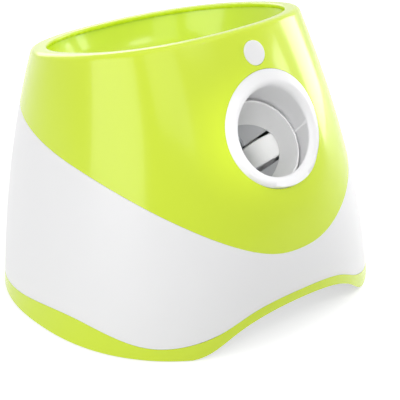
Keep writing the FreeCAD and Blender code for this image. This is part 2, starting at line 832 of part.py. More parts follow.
def motor_frame():
    top = motor_face + plate_thickness
    near = wheel_depth - plate_reach
    far = wheel_depth + plate_reach
    outer = wheel_x + motor_radius + plate_thickness
    plates = plate_box(-outer, outer, motor_face, top, near, far)
    saddle_length = far - near
    saddle = rod(tube_radius + saddle_gap + saddle_wall, in_barrel(0, 0, near), barrel_in, saddle_length)
    saddle = saddle.common(plate_box(-room, room, -room, top, near, far))
    leg_y = in_barrel(0, motor_face, far).y
    foot_y = leg_y + leg_thickness / 2 - leg_foot / 2
    plate_rear = plate_box(-room, room, -room, top, -room, far)
    legs = []
    for side in (-1, 1):
        middle = side * (wheel_x - motor_radius + leg_width / 2 - reach)
        low = V(middle - leg_width / 2, leg_y - leg_thickness, plate_top)
        leg = box(low, V(middle + leg_width / 2, leg_y, wheel_base(0, 0).z)).common(plate_rear)
        foot = box(V(low.x, foot_y - leg_foot / 2, plate_top),
                   V(low.x + leg_width, foot_y + leg_foot / 2, plate_top + leg_foot_thickness))
        legs += [leg, foot]
    frame = fused(plates, saddle, *legs)
    clear = tube_radius + saddle_gap
    cuts = [rod(clear, in_barrel(0, 0, 0), barrel_in, 3 * wheel_depth),
            rod(clear, corner - chute_up * 2 * tube_radius, chute_up, drop_distance + 2 * tube_radius)]
    for x in (-wheel_x, wheel_x):
        cuts.append(rod(motor_nose_radius + fit_gap, wheel_base(x, motor_face - reach), barrel_up,
                        plate_thickness + 2 * reach))
        cuts += [rod(screw_radius + screw_clearance, wheel_base(spot, motor_face - reach), barrel_up,
                     plate_thickness + 2 * reach) for spot in screw_spots(x)]
    return frame.cut(Part.makeCompound(cuts))


def motor_screws():
    """Cap screws through the frame into the motors' faces."""
    top = motor_face + plate_thickness
    screws = []
    for x in (-wheel_x, wheel_x):
        for spot in screw_spots(x):
            shank = rod(screw_radius, wheel_base(spot, motor_face - screw_length / 3), barrel_up,
                        plate_thickness + screw_length / 3 + reach / 2)
            head = rod(screw_head_radius, wheel_base(spot, top + running_gap), barrel_up, screw_head_height)
            screws.append(fused(shank, head))
    return screws


# ---------------------------------------------------------------- feed stand, rotor and drive
def feed_stand():
    inner = cheek_inside
    outer = cheek_inside + cheek_thickness
    front = rotor_axis.y - cheek_front
    back = rotor_axis.y + cheek_back
    slab = box(V(-outer, front, plate_top), V(outer, back, plate_top + stand_floor))
    right = box(V(inner, front, plate_top), V(outer, back, lug_height - seat_gap))
    stand = fused(slab, right, mirrored(right))
    seat_radius = rotor_shaft_radius + bushing_wall + 2 * running_gap
    cuts = [rod(seat_radius, rotor_axis - ACROSS * 2 * outer, ACROSS, 4 * outer)]
    cuts += [rod(screw_radius, p - UP * screw_length, UP, screw_length + reach) for p in lug_screw_feet()]
    return stand.cut(Part.makeCompound(cuts))


def rotor_bushings():
    bushings = []
    for side in (-1, 1):
        start = rotor_axis + ACROSS * side * (cheek_inside - running_gap)
        sleeve_radius = rotor_shaft_radius + running_gap + bushing_wall
        sleeve = rod(sleeve_radius, start - ACROSS * side * bushing_flange, ACROSS * side,
                     cheek_thickness + bushing_flange)
        flange = rod(sleeve_radius + bushing_flange_width, start, ACROSS * -side, bushing_flange)
        bore = rod(rotor_shaft_radius + running_gap, rotor_axis - ACROSS * room, ACROSS, 2 * room)
        bushings.append(fused(sleeve, flange).cut(bore))
    return bushings


def feed_rotor():
    half = ACROSS * rotor_width / 2
    hub = rod(rotor_hub_radius, rotor_axis - half, ACROSS, rotor_width)
    fingers = []
    for k in range(finger_count):
        turn = 360.0 / finger_count * (k + 0.5) + chute_pitch
        finger = box(V(-rotor_width / 2, -finger_thickness / 2, 0),
                     V(rotor_width / 2, finger_thickness / 2, finger_reach - finger_thickness / 2))
        tip = rod(finger_thickness / 2, V(-rotor_width / 2, 0, finger_reach - finger_thickness / 2), ACROSS,
                  rotor_width)
        frame = FreeCAD.Placement(rotor_axis, FreeCAD.Rotation(ACROSS, turn))
        fingers += [placed(finger, frame), placed(tip, frame)]
    bore = rod(rotor_shaft_radius + running_gap, rotor_axis - half * 2, ACROSS, 2 * rotor_width)
    return fused(hub, *fingers).cut(bore)


def rotor_spacers():
    """Sleeves that keep the rotor in the middle of its shaft."""
    length = cheek_inside - bushing_flange - rotor_width / 2 - 2 * fit_gap
    sleeves = []
    for side in (-1, 1):
        start = rotor_axis + ACROSS * side * (rotor_width / 2 + running_gap)
        sleeves.append(pipe(rotor_shaft_radius + bushing_wall, rotor_shaft_radius + running_gap, start,
                            ACROSS * side, length))
    return sleeves


def rotor_shaft():
    left = cheek_inside + cheek_thickness + reach
    right = gear_inside + gear_width + reach
    return rod(rotor_shaft_radius, rotor_axis - ACROSS * left, ACROSS, left + right)


pressure = math.radians(pressure_angle)
mesh_distance = gear_module * (gear_teeth + pinion_teeth) / 2
pinion_out = V(0, math.cos(math.radians(pinion_angle)), math.sin(math.radians(pinion_angle)))
pinion_axis = rotor_axis + pinion_out * mesh_distance


def involute(angle):
    return math.tan(angle) - angle


def gear(teeth, centre, turn, bore):
    """Spur gear on the X axis; one tooth's middle points turn degrees up from +Y."""
    pitch = gear_module * teeth / 2
    base = pitch * math.cos(pressure)
    tip = pitch + gear_module
    root = pitch - gear_dedendum * gear_module
    half_tooth = math.pi / (2 * teeth) - gear_backlash / pitch + involute(pressure)
    radii = [base + (tip - base) * k / 4 for k in range(5)]
    flank = [(r, half_tooth - involute(math.acos(base / r))) for r in radii]
    points = []
    for k in range(teeth):
        middle = 2 * math.pi * k / teeth + math.radians(turn)
        rising = [(root, -flank[0][1])] + [(r, -a) for r, a in flank]
        falling = [(r, a) for r, a in reversed(flank)] + [(root, flank[0][1])]
        points += [V(gear_inside, centre.y + r * math.cos(middle + a), centre.z + r * math.sin(middle + a))
                   for r, a in rising + falling]
    wheel = Part.Face(Part.makePolygon(points + points[:1])).extrude(ACROSS * gear_width)
    return wheel.cut(rod(bore, V(gear_inside - reach, centre.y, centre.z), ACROSS, gear_width + 2 * reach))


def rotor_gear():
    return gear(gear_teeth, rotor_axis, pinion_angle, rotor_shaft_radius + running_gap)


def drive_pinion():
    facing = pinion_angle + 180 + 180.0 / pinion_teeth
    return gear(pinion_teeth, pinion_axis, facing, drive_shaft_radius + running_gap)


bracket_x = gear_inside + gear_width + bracket_gap


def bracket_screws_y():
    return [pinion_axis.y - drive_screw_spacing / 2, pinion_axis.y + drive_screw_spacing / 2]


def drive_bracket():
    low = V(bracket_x, pinion_axis.y - bracket_width / 2, plate_top)
    top = pinion_axis.z + bracket_top_room
    upright = box(low, V(bracket_x + bracket_thickness, low.y + bracket_width, top))
    foot = box(low, V(bracket_x + leg_foot, low.y + bracket_width, plate_top + bracket_thickness))
    cuts = [rod(drive_nose_radius + fit_gap, V(bracket_x - reach, pinion_axis.y, pinion_axis.z), ACROSS,
                bracket_thickness + 2 * reach)]
    cuts += [rod(screw_radius + screw_clearance, V(bracket_x - reach, y, pinion_axis.z), ACROSS,
                 bracket_thickness + 2 * reach) for y in bracket_screws_y()]
    return fused(upright, foot).cut(Part.makeCompound(cuts))


def drive_motor():
    face = V(bracket_x + bracket_thickness + seat_gap / 2, pinion_axis.y, pinion_axis.z)
    box_part = rod(gearbox_radius, face, ACROSS, gearbox_length)
    can_start = face + ACROSS * (gearbox_length - reach)
    can = rod(drive_motor_radius, can_start, ACROSS, drive_motor_length + reach)
    nose = rod(drive_nose_radius, face - ACROSS * bracket_thickness, ACROSS, bracket_thickness + reach)
    shaft = rod(drive_shaft_radius + running_gap, face - ACROSS * 2 * bracket_thickness, ACROSS,
                2 * bracket_thickness + drive_shaft_depth)
    holes = [rod(screw_radius + screw_clearance, V(face.x - reach, y, face.z), ACROSS, screw_length / 2)
             for y in bracket_screws_y()]
    return fused(box_part, can, nose).cut(Part.makeCompound([shaft] + holes))


def drive_shaft():
    start = V(gear_inside - reach, pinion_axis.y, pinion_axis.z)
    end = bracket_x + bracket_thickness + drive_shaft_depth - reach
    return rod(drive_shaft_radius, start, ACROSS, end - start.x)


def drive_screws():
    screws = []
    for y in bracket_screws_y():
        tip = V(bracket_x - running_gap, y, pinion_axis.z)
        shank = rod(screw_radius, tip - ACROSS * reach / 2, ACROSS, bracket_thickness + screw_length / 3)
        head = rod(screw_head_radius, tip, -ACROSS, screw_head_height)
        screws.append(fused(shank, head))
    return screws


# ---------------------------------------------------------------- bowl
def bowl_section(inward, down, grow):
    """Closed curve between the rim's opening and the drop hole; grow moves it outwards."""
    points = []
    for angle in around():
        rim = rim_point(angle, rim_width - grow, lip_thickness)
        radius = bore_radius + hole_shoulder + grow
        hole = V(radius * math.cos(angle), drop.y + radius * math.sin(angle),
                 drop_height - (grow if inward == 1 else grow * bowl_skew))
        x = rim.x + (hole.x - rim.x) * inward
        y = rim.y + (hole.y - rim.y) * inward
        points.append(V(x, y, rim.z + (hole.z - rim.z) * down))
    return closed_curve(points)


def hopper_bowl():
    outside = Part.makeLoft([bowl_section(i, d, bowl_wall) for i, d in bowl_profile], True, False)
    inside = Part.makeLoft([bowl_section(i, d, 0) for i, d in bowl_profile], True, False)
    hole = rod(bore_radius, V(0, drop.y, drop_height - 2 * bowl_wall), UP, 3 * bowl_wall)
    return outside.cut(inside).cut(hole)


# ---------------------------------------------------------------- sensor window
window_frame = frame_on(V(0, wall_y(0, window_height, 0, -1), window_height), window_pitch)


def sensor_window():
    cup = rod(window_radius, V(0, 0, -window_depth), UP, window_depth + window_proud)
    cup = cup.makeFillet(window_proud, [cup.Edges[0]])
    hollow = rod(window_radius - window_cup_wall, V(0, 0, -window_depth - reach), UP,
                 window_depth + reach - window_skin)
    return placed(cup.cut(hollow), window_frame)


def eye_board():
    return placed(rod(eye_board_radius, V(0, 0, -window_depth - eye_board_thickness - running_gap), UP,
                      eye_board_thickness), window_frame)


def eye_can():
    return placed(rod(eye_can_radius, V(0, 0, -window_depth), UP, eye_can_height), window_frame)


# ---------------------------------------------------------------- control panel
button_z = panel_height + button_rise
panel_y = wall_y(0, panel_height, 0, 1)
button_back = wall_y(button_spread + button_radius + button_flange, button_z, wall, 1) - button_gap
button_reach = button_flange_thickness + button_stem + button_travel
board_face = button_back - button_reach - switch_gap - switch_height
jack_z = panel_height - jack_drop


def control_panel():
    panel = body_block(0).cut(body_block(wall)).common(panel_prism(0))
    cuts = [rod(button_radius + button_gap, V(side * button_spread, 0, button_z), BACK, room)
            for side in (-1, 1)]
    light_places = [V(k * light_pitch, 0, button_z) for k in (-1, 0, 1)]
    cuts += [rod(light_radius + button_gap, place, BACK, room) for place in light_places]
    cuts.append(rod(jack_hole_radius, V(0, 0, jack_z), BACK, room))
    return panel.cut(Part.makeCompound(cuts))


def push_button(side):
    x = side * button_spread
    front = wall_y(x, button_z, 0, 1) + button_proud
    cap = rod(button_radius, V(x, button_back - reach, button_z), BACK, front - button_back + reach)
    cap = cap.makeFillet(button_edge_round, [e for e in cap.Edges if abs(e.CenterOfMass.y - front) < 0.01])
    back = V(x, button_back, button_z)
    flange = rod(button_radius + button_flange, back, -BACK, button_flange_thickness)
    stem = rod(button_stem_radius, back, -BACK, button_flange_thickness + button_stem)
    return fused(cap, flange, stem)


def status_lights():
    lights = []
    for k in (-1, 0, 1):
        x = k * light_pitch
        front = wall_y(x, button_z, 0, 1) + light_proud
        lights.append(rod(light_radius, V(x, board_face + running_gap, button_z), BACK, front - board_face))
    return lights


def control_board():
    low = V(-control_board_half_width, board_face - control_board_thickness, control_board_low)
    return box(low, V(control_board_half_width, board_face, control_board_high))


def button_switches():
    switches = []
    for side in (-1, 1):
        low = V(side * button_spread - switch_half_width, board_face, button_z - switch_half_width)
        body = box(low, low + V(2 * switch_half_width, switch_body_height, 2 * switch_half_width))
        plunger = rod(button_stem_radius - fit_gap, V(side * button_spread, board_face, button_z), BACK,
                      switch_height)
        switches.append(fused(body, plunger))
    return switches


def panel_posts():
    """Pillars that hold the control board behind the panel."""
    posts = []
    x = control_board_half_width - post_inset
    z = control_board_high - post_inset
    face = wall_y(x + post_radius, z, wall, 1) - fit_gap
    start = board_face + running_gap
    for side in (-1, 1):
        posts.append(rod(post_radius, V(side * x, start, z), BACK, face - start))
    return posts


def dc_socket():
    face = wall_y(jack_half_width, jack_z - jack_half_width, wall, 1) - fit_gap
    low = V(-jack_half_width, face - jack_depth, jack_z - jack_half_width)
    body = box(low, V(jack_half_width, face, jack_z + jack_half_width))
    bore = rod(jack_bore_radius, V(0, low.y + jack_wall, jack_z), BACK, jack_depth)
    pin = rod(jack_pin_radius, V(0, low.y + jack_wall / 2, jack_z), BACK, jack_depth - jack_wall)
    return fused(body.cut(bore), pin)


# ---------------------------------------------------------------- screws
def long_screw(x, y, seat):
    """Screw from below: the head lies under lower_screw_floor of material, the shank passes the seat."""
    low = V(x, base_y + y, seat - lower_screw_floor)
    head = rod(screw_head_radius, low - UP * running_gap, -UP, screw_head_height)
    shank = rod(screw_radius, low - UP * reach / 2, UP, screw_length)
    return fused(head, shank)


def chute_screws():
    screws = []
    for p in lug_screw_feet():
        top = p + UP * (lug_thickness + running_gap)
        shank = rod(screw_radius - running_gap, top - UP * screw_length, UP, screw_length + reach / 2)
        screws.append(fused(shank, rod(screw_head_radius, top, UP, screw_head_height)))
    return screws


def board_screws():
    screws = []
    for p in board_corners():
        top = p + UP * (board_lift + board_size[2] + running_gap)
        shank = rod(screw_radius - running_gap, top - UP * board_size[2], UP, board_size[2] + reach / 2)
        screws.append(fused(shank, rod(screw_head_radius, top, UP, screw_head_height)))
    return screws


# ---------------------------------------------------------------- write every node
hollow = hollow_body()
save("upper_shell", upper_shell(hollow))
save("lower_shell", lower_shell(hollow))
save("base_skirt", base_skirt(hollow))
save("hopper_bowl", hopper_bowl())
save("base_plate", base_plate())
save("rubber_feet", *rubber_feet())
save("outlet_ring", outlet_ring())
save("barrel_tube", barrel_tube())
save("feed_chute", feed_chute())
save("sensor_window", sensor_window())
save("sensor_board", eye_board())
save("motion_sensor", eye_can())

for name, x in (("left", -wheel_x), ("right", wheel_x)):
    save("flywheel_hub_" + name, flywheel_hub(x))
    save("flywheel_tyre_" + name, flywheel_tyre(x))
    save("flywheel_shaft_" + name, motor_shaft(x))
    save("flywheel_motor_" + name, flywheel_motor(x))
save("motor_frame", motor_frame())
save("motor_screws", *motor_screws())

save("feed_stand", feed_stand())
save("rotor_bushings", *rotor_bushings())
save("feed_rotor", feed_rotor())
save("rotor_spacers", *rotor_spacers())
save("rotor_shaft", rotor_shaft())
save("rotor_gear", rotor_gear())
save("drive_pinion", drive_pinion())
save("drive_shaft", drive_shaft())
save("drive_motor", drive_motor())
save("drive_bracket", drive_bracket())
save("drive_screws", *drive_screws())
save("chute_screws", *chute_screws())
save("ball_sensor_lamp", ball_sensor(-1))
save("ball_sensor_eye", ball_sensor(1))

save("battery_pack", battery_pack())
save("main_board", main_board())
save("board_parts", *board_parts())
save("board_screws", *board_screws())
save("control_panel", control_panel())
save("power_button", push_button(-1))
save("distance_button", push_button(1))
save("status_lights", *status_lights())
save("control_board", control_board())
save("button_switches", *button_switches())
save("panel_posts", *panel_posts())
save("dc_socket", dc_socket())
save("pillar_screws", *[long_screw(x, y, pillar_top) for x, y in four(pillar_places)])
save("shell_screws", *[long_screw(x, y, joint_seat(y)) for x, y in four(joint_places)])
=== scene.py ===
import bmesh
import bpy
import json
import math
from mathutils import Matrix, Vector


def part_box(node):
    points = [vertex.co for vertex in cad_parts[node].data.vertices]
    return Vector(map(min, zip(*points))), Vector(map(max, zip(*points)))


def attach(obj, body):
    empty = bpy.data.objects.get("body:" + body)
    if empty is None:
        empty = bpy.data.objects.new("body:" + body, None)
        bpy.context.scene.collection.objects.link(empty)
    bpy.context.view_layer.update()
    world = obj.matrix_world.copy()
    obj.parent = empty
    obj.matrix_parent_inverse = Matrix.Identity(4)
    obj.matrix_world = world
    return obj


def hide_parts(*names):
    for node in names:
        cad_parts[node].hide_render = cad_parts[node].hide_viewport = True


# An automatic ball launcher for small dogs: lime and white moulded shells, an open ball bowl, a white
# outlet ring with the light tube behind it, pale flywheel treads, and controls on the back.
# Metres. +Z is up and the outlet faces -Y.

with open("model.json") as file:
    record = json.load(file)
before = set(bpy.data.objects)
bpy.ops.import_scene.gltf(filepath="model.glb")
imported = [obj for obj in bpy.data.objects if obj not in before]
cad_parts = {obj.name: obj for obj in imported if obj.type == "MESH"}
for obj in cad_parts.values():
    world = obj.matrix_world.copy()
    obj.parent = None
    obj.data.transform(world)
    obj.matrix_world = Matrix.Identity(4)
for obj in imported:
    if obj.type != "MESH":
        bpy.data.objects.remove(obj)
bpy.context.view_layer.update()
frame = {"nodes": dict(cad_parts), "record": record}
nodes = frame["nodes"]
body_of = {node: body for body, members in frame["record"]["behaviour"]["bodies"].items() for node in members}
slot_of = {part["node"]: part["material_slot"] for part in frame["record"]["subparts"]}


# ---------------------------------------------------------------- node trees
def socket(group, name, kind, way, value=None):
    made = group.interface.new_socket(name=name, in_out=way, socket_type="NodeSocket" + kind)
    if value is not None:
        made.default_value = value
    return made


def moulded_skin():
    """Faint changes of shade and gloss, and the fine skin, that a moulding tool leaves."""
    group = bpy.data.node_groups.new("moulded skin", "ShaderNodeTree")
    socket(group, "Position", "Vector", "INPUT")
    socket(group, "Colour", "Color", "INPUT", (0.8, 0.8, 0.8, 1))
    socket(group, "Shade change", "Float", "INPUT", 0.03)
    socket(group, "Roughness", "Float", "INPUT", 0.3)
    socket(group, "Gloss change", "Float", "INPUT", 0.05)
    socket(group, "Grain scale", "Float", "INPUT", 900.0)
    socket(group, "Colour", "Color", "OUTPUT")
    socket(group, "Roughness", "Float", "OUTPUT")
    socket(group, "Height", "Float", "OUTPUT")
    tree, link = group.nodes, group.links.new
    start, end = tree.new("NodeGroupInput"), tree.new("NodeGroupOutput")

    cloud = tree.new("ShaderNodeTexNoise")
    cloud.inputs["Scale"].default_value = 14.0
    cloud.inputs["Detail"].default_value = 3.0
    link(start.outputs["Position"], cloud.inputs["Vector"])

    grain = tree.new("ShaderNodeTexNoise")
    grain.inputs["Detail"].default_value = 2.0
    link(start.outputs["Position"], grain.inputs["Vector"])
    link(start.outputs["Grain scale"], grain.inputs["Scale"])

    centred = tree.new("ShaderNodeMath")
    centred.operation = "SUBTRACT"
    centred.inputs[1].default_value = 0.5
    link(cloud.outputs["Fac"], centred.inputs[0])

    shade = tree.new("ShaderNodeMath")
    shade.operation = "MULTIPLY_ADD"
    shade.inputs[2].default_value = 1.0
    link(centred.outputs[0], shade.inputs[0])
    link(start.outputs["Shade change"], shade.inputs[1])

    tinted = tree.new("ShaderNodeVectorMath")
    tinted.operation = "SCALE"
    link(start.outputs["Colour"], tinted.inputs[0])
    link(shade.outputs[0], tinted.inputs["Scale"])

    gloss = tree.new("ShaderNodeMath")
    gloss.operation = "MULTIPLY_ADD"
    link(centred.outputs[0], gloss.inputs[0])
    link(start.outputs["Gloss change"], gloss.inputs[1])
    link(start.outputs["Roughness"], gloss.inputs[2])

    link(tinted.outputs[0], end.inputs["Colour"])
    link(gloss.outputs[0], end.inputs["Roughness"])
    link(grain.outputs["Fac"], end.inputs["Height"])
    return group


def turned_metal():
    """Streaks that run around or along a turned or drawn metal piece."""
    group = bpy.data.node_groups.new("turned metal", "ShaderNodeTree")
    socket(group, "Position", "Vector", "INPUT")
    socket(group, "Colour", "Color", "INPUT", (0.6, 0.6, 0.6, 1))
    socket(group, "Roughness", "Float", "INPUT", 0.3)
    socket(group, "Stretch", "Vector", "INPUT", (1, 1, 1))
    socket(group, "Colour", "Color", "OUTPUT")
    socket(group, "Roughness", "Float", "OUTPUT")
    socket(group, "Height", "Float", "OUTPUT")
    tree, link = group.nodes, group.links.new
    start, end = tree.new("NodeGroupInput"), tree.new("NodeGroupOutput")

    stretched = tree.new("ShaderNodeVectorMath")
    stretched.operation = "MULTIPLY"
    link(start.outputs["Position"], stretched.inputs[0])
    link(start.outputs["Stretch"], stretched.inputs[1])

    streaks = tree.new("ShaderNodeTexNoise")
    streaks.inputs["Scale"].default_value = 300.0
    streaks.inputs["Detail"].default_value = 4.0
    link(stretched.outputs[0], streaks.inputs["Vector"])

    tone = tree.new("ShaderNodeMapRange")
    tone.inputs["To Min"].default_value = 0.86
    tone.inputs["To Max"].default_value = 1.1
    link(streaks.outputs["Fac"], tone.inputs["Value"])

    tinted = tree.new("ShaderNodeVectorMath")
    tinted.operation = "SCALE"
    link(start.outputs["Colour"], tinted.inputs[0])
    link(tone.outputs[0], tinted.inputs["Scale"])

    rough = tree.new("ShaderNodeMath")
    rough.operation = "MULTIPLY_ADD"
    rough.inputs[1].default_value = 0.12
    link(streaks.outputs["Fac"], rough.inputs[0])
    link(start.outputs["Roughness"], rough.inputs[2])

    link(tinted.outputs[0], end.inputs["Colour"])
    link(rough.outputs[0], end.inputs["Roughness"])
    link(streaks.outputs["Fac"], end.inputs["Height"])
    return group


skin = moulded_skin()
streaks = turned_metal()


# ---------------------------------------------------------------- materials
def linear(red, green, blue):
    """Scene colour of a colour given as 0 to 255."""
    def channel(value):
        value /= 255
        return value / 12.92 if value <= 0.04045 else ((value + 0.055) / 1.055) ** 2.4
    return channel(red), channel(green), channel(blue), 1.0


def blank(name):
    material = bpy.data.materials.new(name)
    material.use_nodes = True
    tree = material.node_tree
    return material, tree, tree.nodes["Principled BSDF"]


def group_node(tree, group, values):
    node = tree.nodes.new("ShaderNodeGroup")
    node.node_tree = group
    position = tree.nodes.new("ShaderNodeTexCoord")
    tree.links.new(position.outputs["Object"], node.inputs["Position"])
    for name, value in values.items():
        node.inputs[name].default_value = value
    return node


def bumped(tree, shader, height, strength, distance):
    bump = tree.nodes.new("ShaderNodeBump")
    bump.inputs["Strength"].default_value = strength
    bump.inputs["Distance"].default_value = distance
    tree.links.new(height, bump.inputs["Height"])
    tree.links.new(bump.outputs["Normal"], shader.inputs["Normal"])


def plastic(name, colour, roughness, grain=900.0, depth=0.00001, shade=0.03, coat=0.0, through=0.0):
    material, tree, shader = blank(name)
    look = group_node(tree, skin, {"Colour": colour, "Roughness": roughness, "Grain scale": grain,
                                   "Shade change": shade})
    tree.links.new(look.outputs["Colour"], shader.inputs["Base Color"])
    tree.links.new(look.outputs["Roughness"], shader.inputs["Roughness"])
    bumped(tree, shader, look.outputs["Height"], 0.25, depth)
    shader.inputs["IOR"].default_value = 1.49
    shader.inputs["Coat Weight"].default_value = coat
    shader.inputs["Coat Roughness"].default_value = 0.08
    shader.inputs["Subsurface Weight"].default_value = through
    shader.inputs["Subsurface Radius"].default_value = (1.0, 1.0, 1.0)
    shader.inputs["Subsurface Scale"].default_value = 0.002
    return material


def metal(name, colour, roughness, stretch=(1.0, 1.0, 1.0)):
    material, tree, shader = blank(name)
    look = group_node(tree, streaks, {"Colour": colour, "Roughness": roughness, "Stretch": stretch})
    tree.links.new(look.outputs["Colour"], shader.inputs["Base Color"])
    tree.links.new(look.outputs["Roughness"], shader.inputs["Roughness"])
    shader.inputs["Metallic"].default_value = 1.0
    bumped(tree, shader, look.outputs["Height"], 0.15, 0.00001)
    return material


materials = {
    "lime_plastic": plastic("lime moulding", linear(217, 240, 40), 0.22, coat=0.35),
    "white_plastic": plastic("white moulding", linear(246, 246, 247), 0.34, shade=0.015),
    "base_plastic": plastic("light grey base", linear(205, 207, 209), 0.55, grain=1500.0, depth=0.00004),
    "feed_plastic": plastic("grey chute", linear(176, 179, 183), 0.42),
    "soft_white": plastic("white flywheel tread", linear(252, 252, 251), 0.62, grain=2600.0, depth=0.00005),
    "black_rubber": plastic("black rubber", linear(28, 28, 29), 0.75, grain=2200.0, depth=0.00005),
    "gear_plastic": plastic("ivory gear plastic", linear(226, 222, 208), 0.4),
    "board": plastic("green circuit board", linear(22, 92, 52), 0.3, grain=400.0, shade=0.2, coat=0.3),
    "chip": plastic("black chip resin", linear(30, 30, 32), 0.5),
    "battery_wrap": plastic("blue battery wrap", linear(38, 86, 160), 0.24, grain=120.0, depth=0.00008,
                            coat=0.2),
    "grey_plastic": plastic("mid grey plastic", linear(120, 122, 126), 0.45, grain=1500.0, depth=0.00003),
    "light_plastic": plastic("frosted light pipe", linear(214, 236, 214), 0.3, through=0.3),
    "dark_plastic": plastic("black gloss plastic", linear(22, 22, 24), 0.2),
    # The barrel plastic is whiter than the shells' white: partly its own colour, partly painted light inside
    # the tube.
    "barrel": plastic("white barrel plastic", linear(253, 253, 253), 0.45),
    # The pocket floors' grey is painted shade: a darker copy of the barrel white on the same tube.
    "pocket": plastic("grey pocket floor", linear(214, 215, 217), 0.5),
    "steel": metal("plated steel", linear(186, 187, 190), 0.26, (1.0, 6.0, 6.0)),
    "motor_steel": metal("drawn motor can", linear(200, 201, 204), 0.28, (8.0, 1.0, 1.0)),
    "bronze": metal("sintered bronze", linear(176, 138, 84), 0.42),
}


# ---------------------------------------------------------------- pieces made from the CAD nodes
smooth_angle = math.radians(32)
weld_gap = 0.000002


def finished(node):
    """The node's own shape with its facets joined and shaded as one smooth skin."""
    mesh = nodes[node].data.copy()
    edit = bmesh.new()
    edit.from_mesh(mesh)
    bmesh.ops.remove_doubles(edit, verts=edit.verts, dist=weld_gap)
    edit.to_mesh(mesh)
    edit.free()
    mesh.shade_smooth()
    mesh.set_sharp_from_angle(angle=smooth_angle)
    mesh.materials.clear()
    mesh.materials.append(materials[slot_of[node]])
    piece = bpy.data.objects.new(node + "_skin", mesh)
    bpy.context.scene.collection.objects.link(piece)
    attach(piece, body_of[node])
    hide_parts(node)
    return piece


smooth_nodes = ("upper_shell", "lower_shell", "base_skirt", "hopper_bowl", "base_plate", "outlet_ring",
                "barrel_tube", "feed_chute", "sensor_window", "rubber_feet", "control_panel", "power_button",
                "distance_button", "flywheel_tyre_left", "flywheel_tyre_right", "flywheel_hub_left",
                "flywheel_hub_right", "feed_rotor", "status_lights")
skins = {node: finished(node) for node in smooth_nodes}

for node, part in nodes.items():
    part.data.materials.clear()
    part.data.materials.append(materials[slot_of[node]])


bore_radius = 0.0288
pocket_floor = 0.0301
radius_slack = 0.0002


def dress_barrel():
    """True round shading inside the barrel, and a darker grey on the floors of its two round pockets, which
    is painted shade.
    """
    tube = skins["barrel_tube"].data
    tube.materials.clear()
    tube.materials.append(materials["barrel"])
    tube.materials.append(materials["pocket"])
    joints = {joint["name"]: joint for joint in frame["record"]["behaviour"]["joints"]}
    wheel = joints["flywheel_right_spin"]
    middle = Vector((0, wheel["pos_m"][1], wheel["pos_m"][2]))
    along = Vector((0, wheel["axis"][2], -wheel["axis"][1]))
    normals = [Vector(corner.vector) for corner in tube.corner_normals]
    for face in tube.polygons:
        arms = [tube.vertices[k].co - middle for k in face.vertices]
        arms = [arm - along * arm.dot(along) for arm in arms]
        for radius in (bore_radius, pocket_floor):
            if all(abs(arm.length - radius) < radius_slack for arm in arms):
                for k, arm in zip(face.loop_indices, arms):
                    normals[k] = -arm.normalized()
                # Faces on the pocket floors take the grey of painted shade.
                if radius == pocket_floor:
                    face.material_index = 1
    tube.normals_split_custom_set(normals)


dress_barrel()

# half widths and half depths at the floor and at body_height, and how far their lines bend from straight
body_height = 0.1906
base_width, rim_width, width_bow = 0.1299, 0.0881, 0.08
base_depth, rim_depth, depth_bow = 0.1216, 0.0820, 1.6
base_middle = -0.0029626
lean = 0.0158
outline_power = 2.27
probe = 0.00001          # step for the slope of the surface
skin_slack = 0.0001      # how far off the surface a point may lie
same_side = 0.9          # cosine between a face and the surface it belongs to


def body_level(x, y, z):
    """Zero on the body's outer surface, a rounded section that narrows from the floor to the rim."""
    share = z / body_height
    bow = share * (1 - share)
    half_width = base_width + (rim_width - base_width) * (share - width_bow * bow)
    half_depth = base_depth + (rim_depth - base_depth) * (share - depth_bow * bow)
    middle_y = base_middle + lean * share
    return abs(x / half_width) ** outline_power + abs((y - middle_y) / half_depth) ** outline_power - 1


def true_body_shading(node):
    """Shades the outer skin by the surface itself, so thin triangles along the borders don't show."""
    mesh = skins[node].data
    normals = [Vector(corner.vector) for corner in mesh.corner_normals]
    slopes = {}
    for vertex in mesh.vertices:
        x, y, z = vertex.co
        slope = Vector((body_level(x + probe, y, z) - body_level(x - probe, y, z),
                        body_level(x, y + probe, z) - body_level(x, y - probe, z),
                        body_level(x, y, z + probe) - body_level(x, y, z - probe))) / (2 * probe)
        if abs(body_level(x, y, z)) < slope.length * skin_slack:
            slopes[vertex.index] = slope.normalized()
    for face in mesh.polygons:
        if not all(k in slopes and face.normal.dot(slopes[k]) > same_side for k in face.vertices):
            continue
        for corner, k in zip(face.loop_indices, face.vertices):
            normals[corner] = slopes[k]
    mesh.normals_split_custom_set(normals)


for node in ("upper_shell", "lower_shell", "base_skirt"):
    true_body_shading(node)


# ---------------------------------------------------------------- marks on the buttons
def placed(edit, name, body, slot):
    """Makes a finished piece from an edit mesh, riding on a body."""
    bmesh.ops.recalc_face_normals(edit, faces=edit.faces)
    mesh = bpy.data.meshes.new(name)
    edit.to_mesh(mesh)
    edit.free()
    mesh.shade_smooth()
    mesh.set_sharp_from_angle(angle=smooth_angle)
    mesh.materials.append(materials[slot])
    piece = bpy.data.objects.new(name, mesh)
    bpy.context.scene.collection.objects.link(piece)
    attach(piece, body)


mark_width = 0.0006
mark_rise = 0.0001
mark_sink = 0.0004
arc_steps = 24
power_radius = 0.0026
power_bar = (0.0006, 0.0034)
throw_arcs = (0.0014, 0.0028, 0.0042)
throw_drop = 0.0022


def mark_block(edit, low, high):
    made = bmesh.ops.create_cube(edit, size=1.0)["verts"]
    bmesh.ops.scale(edit, verts=made, vec=high - low)
    bmesh.ops.translate(edit, verts=made, vec=(low + high) / 2)


